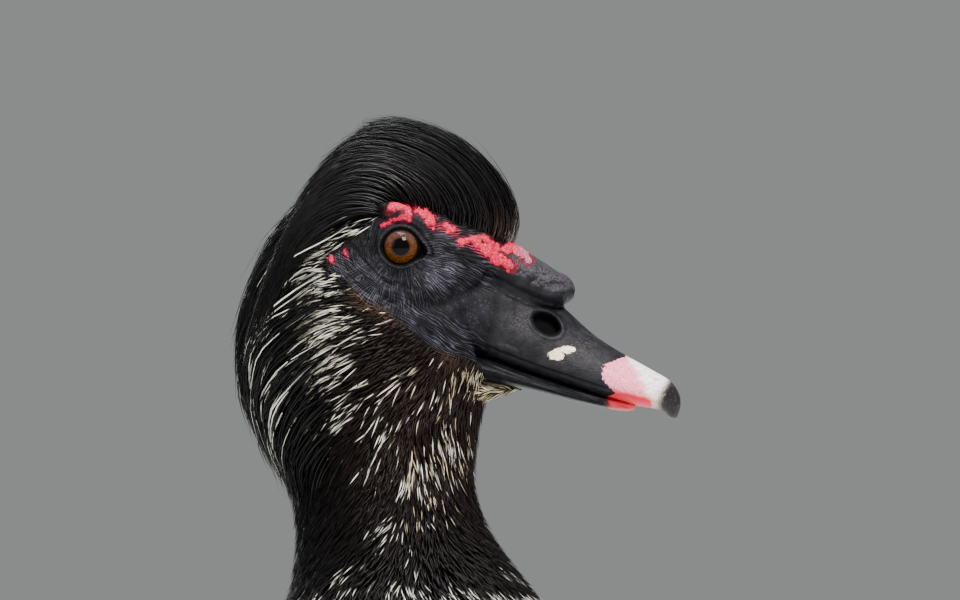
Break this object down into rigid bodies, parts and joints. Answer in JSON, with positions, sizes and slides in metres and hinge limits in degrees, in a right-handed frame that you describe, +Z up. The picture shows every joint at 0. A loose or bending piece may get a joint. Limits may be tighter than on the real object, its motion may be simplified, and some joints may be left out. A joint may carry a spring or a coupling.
{
  "type": "muscovy duck",
  "caption": "Life-size muscovy drake standing at rest on two webbed feet, with a raised crest, a knob over the bill, folded wings and a fanned tail; one rigid body.",
  "frame": {"origin": "on the floor, below the middle of the whole bird's box", "axes": "+X towards the bill, along the body's length; +Y to the bird's left; +Z up"},
  "size_m": [0.5906, 0.2368, 0.4406],
  "materials": {
    "plumage_black": "black feathers, soft sheen",
    "plumage_gloss": "glossy black feathers with a green sheen",
    "face_skin": "bare wrinkled black skin with red bulbs",
    "bill_horn": "satin black horn",
    "eye_amber": "wet, polished",
    "leg_skin": "scaly grey-black skin",
    "claw_horn": "satin dark horn"
  },
  "bodies": {
    "root": {"torso": "plumage_black", "neck_lower": "plumage_black", "neck_upper": "plumage_black", "head": "face_skin", "tail": "plumage_gloss", "wing_left": "plumage_gloss", "wing_right": "plumage_gloss", "bill_upper": "bill_horn", "bill_lower": "bill_horn", "eye_left": "eye_amber", "eye_right": "eye_amber", "thigh_left": "plumage_black", "thigh_right": "plumage_black", "shank_left": "leg_skin", "shank_right": "leg_skin", "foot_left": "leg_skin", "foot_right": "leg_skin", "claw_inner_left": "claw_horn", "claw_inner_right": "claw_horn", "claw_middle_left": "claw_horn", "claw_middle_right": "claw_horn", "claw_outer_left": "claw_horn", "claw_outer_right": "claw_horn", "claw_hind_left": "claw_horn", "claw_hind_right": "claw_horn"}
  },
  "joints": []
}
